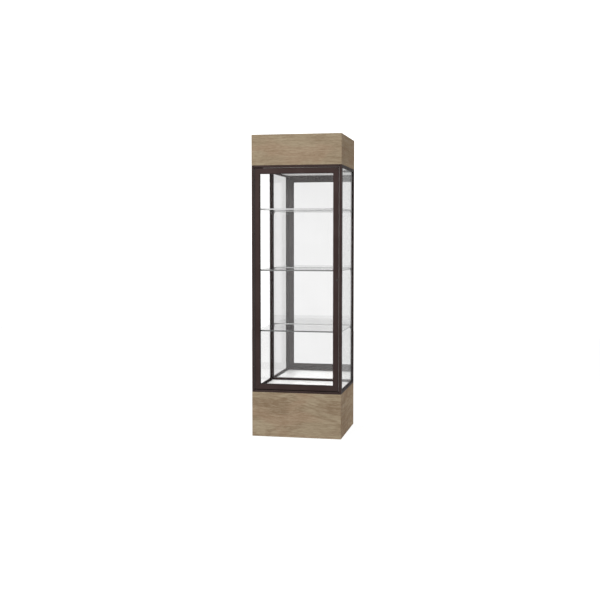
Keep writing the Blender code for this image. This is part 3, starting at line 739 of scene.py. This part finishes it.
def pane_finish(name, thin_axis, head_on, at_a_slant, tint, edge, painted_rear_edge=None):
    """clear_float with its edges picked out by the surface's own direction: an edge is wherever
    the surface doesn't face along thin_axis, the way through the sheet. From inside the glass an
    edge is as clear as the rest. painted_rear_edge is the colour painted on the edge that faces +Y,
    which the shelves use as painted light."""
    finish, tree, shader, pane = clear_float(name, head_on, at_a_slant, tint, edge)
    normal = add_node(tree, "ShaderNodeTexCoord").outputs["Normal"]
    parts = add_node(tree, "ShaderNodeSeparateXYZ", {0: normal})
    if painted_rear_edge:
        colour = blended(tree, spread(tree, parts.outputs["Y"], -0.3, 0.3), edge, painted_rear_edge)
        tree.links.new(colour, shader.inputs["Base Color"])
    size = add_node(
        tree, "ShaderNodeMath", {0: parts.outputs[thin_axis]}, operation="ABSOLUTE"
    ).outputs[0]
    inside = add_node(tree, "ShaderNodeNewGeometry").outputs["Backfacing"]
    outside = sum_of(tree, inside, -1.0, 1.0)
    edge_share = sum_of(tree, spread(tree, size, 0.35, 0.15), outside)
    whole = add_node(
        tree, "ShaderNodeMixShader", {0: edge_share, 1: pane.outputs[0], 2: shader.outputs[0]}
    )
    surface = tree.nodes["Material Output"].inputs["Surface"]
    tree.links.new(whole.outputs[0], surface)
    return finish


PANE_TINT = (linear(254, 254, 254), linear(226, 226, 225))
PANE_EDGE = linear(124, 136, 129)
side_pane = pane_finish("side_pane", "X", 0.006, 0.36, PANE_TINT, PANE_EDGE)
for hand in ("left", "right"):
    node = f"{hand}_side_glass"
    sheet = slab(node + "_pane", node, side_pane)
    eased(sheet, GLASS_EASE)
    settled(sheet, "case", "clear_glass", node)


# Shelves: thick clear glass with flat polished edges, which gather the grey of the glass. The edge
# colours are painted light:
# each front edge is painted paler than the one of the shelf under it, for the light that runs up
# into them from below, and the rear edges are painted pale.

SHELF_TINT = (linear(252, 252, 252), linear(236, 236, 236))
# Edge colours with painted light: a pale rear edge, and front edges painted paler shelf by shelf
# upwards.
PAINTED_LIGHT_REAR_EDGE = linear(205, 206, 205)
PAINTED_LIGHT_EDGE_TONES = {1: linear(100, 101, 100), 2: linear(112, 113, 112), 3: linear(206, 206, 206)}

for number, painted_light_edge_tone in PAINTED_LIGHT_EDGE_TONES.items():
    node = f"shelf_{number}"
    shelf_glass = pane_finish(
        f"shelf_{number}_glass", "Z", 0.01, 0.2, SHELF_TINT, painted_light_edge_tone, PAINTED_LIGHT_REAR_EDGE
    )
    sheet = slab(node + "_polished", node, shelf_glass)
    eased(sheet, GLASS_EASE)
    settled(sheet, "case", "clear_glass", node)


# Shelf clips: dark steel knife brackets. A tongue hooks into the post's slot, and a thin rubber
# strip along the top keeps the glass off the steel.

CLIP_EASE = 0.0003
TONGUE_REACH = 0.007
TONGUE_TOP = 0.005
TONGUE_BOTTOM = 0.014
HEEL = 0.020
NOSE = 0.0048
BELLY_START = 0.009
PAD_THICKNESS = 0.0008
PAD_HALF_WIDTH = 0.0014


def bracket_outline(reach):
    """A clip from the side: u out of the post's face and v up to the shelf. The belly is a
    quarter wave from the heel, at the post, up to the nose."""
    out = np.linspace(0, 1, 12)
    belly_u = BELLY_START + (reach - 0.002 - BELLY_START) * out
    belly_v = -HEEL + (HEEL - NOSE) * np.sin(out * np.pi / 2) ** 1.2
    belly = np.stack([belly_u, belly_v], axis=1)
    return np.concatenate(
        [
            [
                (-TONGUE_REACH, -TONGUE_BOTTOM),
                (-TONGUE_REACH, -TONGUE_TOP),
                (0.0005, -TONGUE_TOP),
                (0.0005, -PAD_THICKNESS),
                (reach - 0.001, -PAD_THICKNESS),
                (reach, -PAD_THICKNESS - 0.001),
                (reach, -NOSE),
            ],
            belly[::-1],
            [(0.0005, -HEEL), (0.0005, -TONGUE_BOTTOM)],
        ]
    )


def soft_rubber(name):
    """Black moulded rubber, dull, with a fine dusty grain."""
    finish, tree, shader = new_finish(name)
    dust = noise(tree, piece_place(tree), (600.0, 600.0, 600.0), detail=4.0)
    mottled(tree, shader, dust, 0.4, 0.75, (34, 33, 33), (50, 48, 47))
    tree.links.new(spread(tree, dust, 0.3, 0.7, 0.62, 0.8), shader.inputs["Roughness"])
    shader.inputs["Specular IOR Level"].default_value = 0.3
    return finish


clip_steel = dark_screw_steel("clip_steel", 62)
rubber = soft_rubber("clip_rubber")
for number in (1, 2, 3):
    for end, out, post_face in (
        ("front", 1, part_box("front_left_post")[1].y),
        ("rear", -1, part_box("rear_left_post")[0].y),
    ):
        for hand in ("left", "right"):
            node = f"shelf_{number}_clip_{end}_{hand}"
            low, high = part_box(node)
            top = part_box(f"shelf_{number}")[0].z
            reach = (high.y - post_face) * out if out > 0 else post_face - low.y
            clip = bar(
                node + "_bracket",
                bracket_outline(reach),
                (low.x, post_face, top),
                (high.x, post_face, top),
                (0, out, 0),
                UP,
                clip_steel,
            )
            eased(clip, CLIP_EASE)
            settled(clip, "case", "dark_steel", node)
            middle = (low.x + high.x) / 2
            strip = bar(
                node + "_rubber",
                [
                    (-PAD_HALF_WIDTH, 0),
                    (PAD_HALF_WIDTH, 0),
                    (PAD_HALF_WIDTH, -PAD_THICKNESS - 0.0008),
                    (PAD_HALF_WIDTH - 0.0005, -PAD_THICKNESS - 0.0008),
                    (PAD_HALF_WIDTH - 0.0005, -PAD_THICKNESS),
                    (0.0005 - PAD_HALF_WIDTH, -PAD_THICKNESS),
                    (0.0005 - PAD_HALF_WIDTH, -PAD_THICKNESS - 0.0008),
                    (-PAD_HALF_WIDTH, -PAD_THICKNESS - 0.0008),
                ],
                (middle, post_face + out * 0.003, top - 0.00005),
                (middle, post_face + out * (reach - 0.001), top - 0.00005),
                RIGHT,
                UP,
                rubber,
            )
            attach(strip, "case")


# Door frame: four mitred lengths of bronze extrusion, 37 mm wide in front, with a chamfer
# round the outer edge and a groove for the glass. The closing stile is drilled for the lock.

DOOR_EASE = 0.0004
PANE_GROOVE = 0.009
PANE_FRONT = 0.005
PANE_REAR = 0.0152
MITRE_PLAY = 0.00045


def door_outline(face, thick):
    """A member's section: u runs from the door's outer edge inwards and v from its front back."""
    return [
        (0, CHAMFER),
        (CHAMFER, 0),
        (face, 0),
        (face, PANE_FRONT),
        (face - PANE_GROOVE, PANE_FRONT),
        (face - PANE_GROOVE, PANE_REAR),
        (face, PANE_REAR),
        (face, thick),
        (0, thick),
    ]


door_low, stile_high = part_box("door_left_stile")
door_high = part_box("door_right_stile")[1]
outline = door_outline(stile_high.x - door_low.x, stile_high.y - door_low.y)


def four_sides(low, high):
    """Where a bar along each side of an upright frame starts and ends, and which way is
    inwards, all as x and z."""
    return {
        "left": ((low.x, low.z), (low.x, high.z), (1, 0)),
        "right": ((high.x, low.z), (high.x, high.z), (-1, 0)),
        "bottom": ((low.x, low.z), (high.x, low.z), (0, 1)),
        "top": ((low.x, high.z), (high.x, high.z), (0, -1)),
    }


def upright_bar(name, outline, y, start, end, inwards, finish, mitre=(1, -1)):
    """A bar of a frame that stands upright with its front at y. start, end and inwards are x
    and z, and the ends are mitred towards the next bars."""
    return bar(
        name,
        outline,
        (start[0], y, start[1]),
        (end[0], y, end[1]),
        (inwards[0], 0, inwards[1]),
        BACK,
        finish,
        mitre,
    )


def drilled(node, name, finish):
    """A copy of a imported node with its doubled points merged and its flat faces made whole."""
    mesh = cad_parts[node].data.copy()
    mesh.materials.clear()
    shape = bmesh.new()
    shape.from_mesh(mesh)
    bmesh.ops.remove_doubles(shape, verts=shape.verts, dist=1e-6)
    bmesh.ops.dissolve_limit(
        shape, angle_limit=math.radians(1), verts=shape.verts, edges=shape.edges
    )
    shape.to_mesh(mesh)
    shape.free()
    return shown(name, mesh, finish)


for side, kind, way, play in (
    ("left", "stile", "upright", 0.0),
    ("bottom", "rail", "across", MITRE_PLAY),
    ("top", "rail", "across", MITRE_PLAY),
):
    node = f"door_{side}_{kind}"
    start, end, inwards = four_sides(door_low, door_high)[side]
    start, end = (start[0] + play, start[1]), (end[0] - play, end[1])
    member = upright_bar(
        node + "_extrusion", outline, door_low.y, start, end, inwards, bronze[way]
    )
    eased(member, DOOR_EASE)
    settled(member, "door", "bronze", node)
closing_stile = drilled("door_right_stile", "door_right_stile_extrusion", bronze["upright"])
creased(closing_stile, 25)
settled(closing_stile, "door", "bronze", "door_right_stile")


# Door glass: 6 mm clear float, dropped into the groove of the four members.

door_pane = pane_finish("door_pane", "Y", 0.004, 0.5, PANE_TINT, PANE_EDGE)
sheet = slab("door_glass_pane", "door_glass", door_pane)
eased(sheet, GLASS_EASE)
settled(sheet, "door", "clear_glass", "door_glass")


# Glazing gasket: a black rubber bead pushed in behind the door glass, mitred at the corners.

GASKET_SHOWS = 0.002

low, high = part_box("door_glass_gasket")
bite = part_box("door_left_stile")[1].x - low.x
shows = bite + GASKET_SHOWS
thick = high.y - low.y
bead = [
    (0, 0),
    (shows - 0.0006, 0),
    (shows, 0.0006),
    (shows - 0.0008, thick - 0.0008),
    (shows - 0.0018, thick),
    (0, thick),
]
gasket_rubber = soft_rubber("gasket_rubber")
for side, (start, end, inwards) in four_sides(low, high).items():
    strip = upright_bar(f"door_gasket_{side}", bead, low.y, start, end, inwards, gasket_rubber)
    settled(strip, "door", "rubber", "door_glass_gasket")


# Dust seal: pale woven pile on a clear backing, stuck to the frame in the gap over the door and
# down its closing side. Its thin edge is what shows as a light line round the door.

SEAL_WIDTH = 0.0021
SEAL_CROWN = 0.0018


def pale_pile():
    """Short pale fibres standing close together: fine bright and shaded specks, quite matt."""
    finish, tree, shader = new_finish("pale_pile")
    tufts = noise(tree, piece_place(tree), (1500.0, 1500.0, 1500.0), detail=3.0, roughness=0.7)
    mottled(tree, shader, tufts, 0.35, 0.65, (138, 131, 129), (172, 164, 161))
    tree.links.new(raised(tree, tufts, 0.0003), shader.inputs["Normal"])
    shader.inputs["Roughness"].default_value = 0.9
    return finish


low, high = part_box("door_dust_seal")
deep = high.y - low.y
strip_outline = [
    (0, 0.0008),
    (SEAL_CROWN, 0),
    (SEAL_WIDTH, 0.0009),
    (SEAL_WIDTH, deep),
    (0, deep),
]
pile = pale_pile()
runs = {
    "top": ((low.x, high.z), (high.x, high.z), (0, -1), (0, -1)),
    "side": ((high.x, high.z), (high.x, low.z), (-1, 0), (1, 0)),
}
for side, (start, end, inwards, mitre) in runs.items():
    strip = upright_bar(
        f"dust_seal_{side}", strip_outline, low.y, start, end, inwards, pile, mitre
    )
    settled(strip, "case", "pile", "door_dust_seal")


# Hinge: a full-length strip hinge in the gap on the left. Each folded steel leaf has every
# second knuckle rolled round the pin, and lies against the post or the edge of the stile.

KNUCKLES = 75
KNUCKLE_GAP = 0.0003
KNUCKLE_RADIUS = 0.0021
KNUCKLE_BORE = 0.00125
LEAF_BEHIND_PIN = 0.0026
LEAF_THICKNESS = 0.0009
PIN_ROUNDING = 0.0003

pin_low, pin_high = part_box("hinge_pin")
pin_middle = (pin_low + pin_high) / 2
knuckle_length = (pin_high.z - pin_low.z) / KNUCKLES
hinge_steel = dark_screw_steel("hinge_steel", 66)


def knuckle_comb(first, leaf_end):
    """The leaf seen from the side, u back from the pin and v up: a strip whose front edge steps
    forward to the pin at each of its own knuckles, which are first, first + 2 and so on."""
    steps = np.arange(KNUCKLES * 2)
    half_gap = KNUCKLE_GAP / 2 * np.where(steps % 2 == 0, 1, -1)
    heights = (steps + 1) // 2 * knuckle_length + half_gap
    own = (steps // 2) % 2 == first
    front = np.where(own, KNUCKLE_RADIUS * 0.8, LEAF_BEHIND_PIN)
    heights = heights - np.where(own, 0, half_gap * 3)
    comb = np.stack([front, heights], axis=1)
    comb[0, 1] = KNUCKLE_GAP / 2
    comb[-1, 1] = KNUCKLES * knuckle_length - KNUCKLE_GAP / 2
    return np.concatenate([comb, [(leaf_end, comb[-1, 1]), (leaf_end, comb[0, 1])]])


def rolled_knuckles(name, first, finish):
    """Rings round the pin, from first in steps of two. Ring k is a turned band whose corners go
    round its own cross-section: outside bottom, outside top, bore top and bore bottom."""
    angles = np.arange(16) * 2 * np.pi / 16
    corner_radii = np.array([KNUCKLE_RADIUS, KNUCKLE_RADIUS, KNUCKLE_BORE, KNUCKLE_BORE])
    corner_heights = KNUCKLE_GAP / 2 * np.array([1, -1, -1, 1])
    corner_heights = corner_heights + np.array([0, 1, 1, 0]) * knuckle_length
    bases = np.arange(first, KNUCKLES, 2) * knuckle_length
    x = pin_middle.x + corner_radii[:, None] * np.cos(angles)
    y = pin_middle.y + corner_radii[:, None] * np.sin(angles)
    z = pin_low.z + bases[:, None, None] + corner_heights[:, None]
    shape = (len(bases), 4, 16)
    points = np.stack([np.broadcast_to(x, shape), np.broadcast_to(y, shape), z + 0 * x], axis=-1)
    index = np.arange(points[..., 0].size).reshape(shape)
    beside = np.roll(index, -1, axis=2)
    corners = [index, beside, np.roll(beside, -1, axis=1), np.roll(index, -1, axis=1)]
    quads = np.stack(corners, axis=-1)
    mesh = bpy.data.meshes.new(name)
    mesh.from_pydata(points.reshape(-1, 3).tolist(), [], quads.reshape(-1, 4).tolist())
    return creased(shown(name, mesh, finish), 35)


for leaf, side, first, body in (("frame", -1, 0, "case"), ("door", 1, 1, "door")):
    node = f"hinge_{leaf}_leaf"
    low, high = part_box(node)
    near = pin_middle.x + side * KNUCKLE_GAP
    strip = bar(
        node + "_strip",
        knuckle_comb(first, high.y - pin_middle.y),
        (near, pin_middle.y, pin_low.z),
        (near + side * LEAF_THICKNESS, pin_middle.y, pin_low.z),
        BACK,
        UP,
        hinge_steel,
    )
    creased(strip, 30)
    settled(strip, body, "dark_steel", node)
    settled(rolled_knuckles(node + "_knuckles", first, hinge_steel), body, "dark_steel", node)

pin_radius = (pin_high.x - pin_low.x) / 2
pin_length = pin_high.z - pin_low.z
pin = turned(
    "hinge_pin_rod",
    np.array([0.7, 1.0, 1.0, 0.7])[:, None] * np.full((4, 16), pin_radius),
    [0, PIN_ROUNDING, pin_length - PIN_ROUNDING, pin_length],
    (pin_middle.x, pin_middle.y, pin_low.z),
    RIGHT,
    BACK,
    UP,
    hinge_steel,
)
creased(pin, 35)
settled(pin, "case", "dark_steel", "hinge_pin")


# Lock: a turned barrel through the closing stile, with its rim proud of the face, and the plug
# that turns in it. The keyway is a slot in the plug's face, and the cam is fixed to its tail.

BARREL_RADIUS = 0.0055
PLUG_BORE = 0.0036
PLUG_RADIUS = 0.0035
RIM_THICKNESS = 0.0015
KEYWAY_HALF_WIDTH = 0.0006
KEYWAY_HALF_HEIGHT = 0.0024
KEYWAY_DEPTH = 0.006
CAM_BEHIND = 0.0265
CAM_THICKNESS = 0.002
CAM_REACH = 0.0185
CAM_HALF_WIDTH = 0.0045
CAM_CORNER = 0.002
CAM_EASE = 0.0003

lock_low, lock_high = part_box("lock_barrel")
lock_axis = (lock_low + lock_high) / 2
face = (lock_axis.x, lock_low.y, lock_axis.z)
into_door = (RIGHT, UP, BACK)
lock_steel = dark_screw_steel("lock_steel", 58)
length = lock_high.y - lock_low.y
rim_radius = (lock_high.x - lock_low.x) / 2
barrel_stations = np.array(
    [
        (rim_radius, 0.0006),
        (rim_radius, RIM_THICKNESS - GAP),
        (BARREL_RADIUS, RIM_THICKNESS - GAP),
        (BARREL_RADIUS, length - 0.0004),
        (0.0051, length),
        (PLUG_BORE, length),
        (PLUG_BORE, 0.0004),
        (PLUG_BORE + 0.0004, 0.0),
        (rim_radius - 0.0009, 0.0),
        (rim_radius - 0.0002, 0.0002),
        (rim_radius, 0.0006),
    ]
)
barrel = turned(
    "lock_barrel_turned",
    np.repeat(barrel_stations[:, :1], ROUND, axis=1),
    barrel_stations[:, 1],
    face,
    *into_door,
    lock_steel,
    capped=False,
)
creased(barrel, 35)
settled(barrel, "door", "dark_steel", "lock_barrel")


def keyed_plug(name, radius, length, finish):
    """The plug, turned, with its front sunk in a keyway. The keyway's points lie at the same
    angles as the rim's, each as far out as the first side of the slot that it meets."""
    angles = np.arange(ROUND) * 2 * np.pi / ROUND
    across = KEYWAY_HALF_WIDTH / np.maximum(np.abs(np.cos(angles)), 1e-9)
    upwards = KEYWAY_HALF_HEIGHT / np.maximum(np.abs(np.sin(angles)), 1e-9)
    slot = np.minimum(across, upwards)
    circle = np.ones(ROUND)
    radii = np.array(
        [
            (radius - 0.0005) * circle,
            radius * circle,
            radius * circle,
            (radius - 0.0004) * circle,
            slot,
            slot,
        ]
    )
    behind_face = [length, length - 0.0005, 0.0007, GAP, GAP, KEYWAY_DEPTH]
    return turned(name, radii, behind_face, face, *into_door, finish)


plug_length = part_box("lock_plug")[1].y - lock_low.y
plug = keyed_plug("lock_plug_turned", PLUG_RADIUS, plug_length, lock_steel)
creased(plug, 35)
settled(plug, "lock_plug", "dark_steel", "lock_plug")

half_turn = np.linspace(0, np.pi, 13)
cam_outline = np.concatenate(
    [
        CAM_HALF_WIDTH * np.stack([np.cos(half_turn), np.sin(half_turn)], axis=1),
        [
            (-CAM_HALF_WIDTH, CAM_CORNER - CAM_REACH),
            (CAM_CORNER - CAM_HALF_WIDTH, -CAM_REACH),
            (CAM_HALF_WIDTH - CAM_CORNER, -CAM_REACH),
            (CAM_HALF_WIDTH, CAM_CORNER - CAM_REACH),
        ],
    ]
)
cam = bar(
    "lock_cam_plate",
    cam_outline,
    (face[0], face[1] + CAM_BEHIND, face[2]),
    (face[0], face[1] + CAM_BEHIND + CAM_THICKNESS, face[2]),
    RIGHT,
    UP,
    lock_steel,
)
eased(cam, CAM_EASE)
settled(cam, "lock_plug", "dark_steel", "lock_plug")


# Studio: a pale floor, an even white surround and two broad soft lights, one high in front and
# one high on the left, which reaches the deck through the side glass.

WORLD_SEEN = 1.4
WORLD_MIRRORED = 1.0
WORLD_LIGHT = 0.195
FLOOR_SEEN = 0.97
FLOOR_MIRRORED = 0.82

scene.view_settings.view_transform = "Standard"
floor_mesh = bpy.data.meshes.new("studio_floor")
floor_mesh.from_pydata(
    [(-6, -9, 0), (6, -9, 0), (6, 7, 0), (-6, 7, 0)], [], [(0, 1, 2, 3)]
)
floor_finish, floor_tree, floor_shader = new_finish("studio_floor")
floor_shader.inputs["Base Color"].default_value = (0.14, 0.14, 0.14, 1.0)
floor_shader.inputs["Emission Color"].default_value = (1.0, 1.0, 1.0, 1.0)
mirrored = add_node(floor_tree, "ShaderNodeLightPath").outputs["Is Glossy Ray"]
glow = sum_of(floor_tree, mirrored, FLOOR_MIRRORED - FLOOR_SEEN, FLOOR_SEEN)
floor_tree.links.new(glow, floor_shader.inputs["Emission Strength"])
floor_shader.inputs["Roughness"].default_value = 0.9
floor_shader.inputs["Specular IOR Level"].default_value = 0.0
floor = shown("studio_floor", floor_mesh, floor_finish)

world = bpy.data.worlds.new("white_surround")
world.use_nodes = True
scene.world = world
sky = world.node_tree
rays = add_node(sky, "ShaderNodeLightPath").outputs
strength = sum_of(sky, rays["Is Diffuse Ray"], WORLD_LIGHT - WORLD_SEEN, WORLD_SEEN)
strength = sum_of(sky, rays["Is Glossy Ray"], WORLD_MIRRORED - WORLD_SEEN, strength)
sky.links.new(strength, sky.nodes["Background"].inputs["Strength"])
sky.nodes["Background"].inputs["Color"].default_value = (1.0, 1.0, 1.0, 1.0)


def soft_light(name, place, target, wide, high, power):
    """A rectangle of soft light at place, facing target."""
    light = bpy.data.lights.new(name, "AREA")
    light.shape = "RECTANGLE"
    light.size = wide
    light.size_y = high
    light.energy = power
    lamp = bpy.data.objects.new(name, light)
    lamp.location = place
    aim = Vector(target) - Vector(place)
    lamp.rotation_euler = aim.to_track_quat("-Z", "Y").to_euler()
    scene.collection.objects.link(lamp)


soft_light("key_light", (-2.6, -5.6, 5.0), (0.0, 0.0, 1.0), 4.5, 3.5, 380.0)
soft_light("side_light", (-4.4, 0.4, 4.2), (0.0, 0.1, 0.6), 3.0, 3.0, 240.0)

lens = bpy.data.cameras.new("camera")
lens.lens = 58.33
camera = bpy.data.objects.new("camera", lens)
camera.location = (1.337, -6.6144, 1.367)
camera.rotation_euler = (math.radians(90 - 3.84), 0.0, math.radians(11.69))
scene.collection.objects.link(camera)
scene.camera = camera
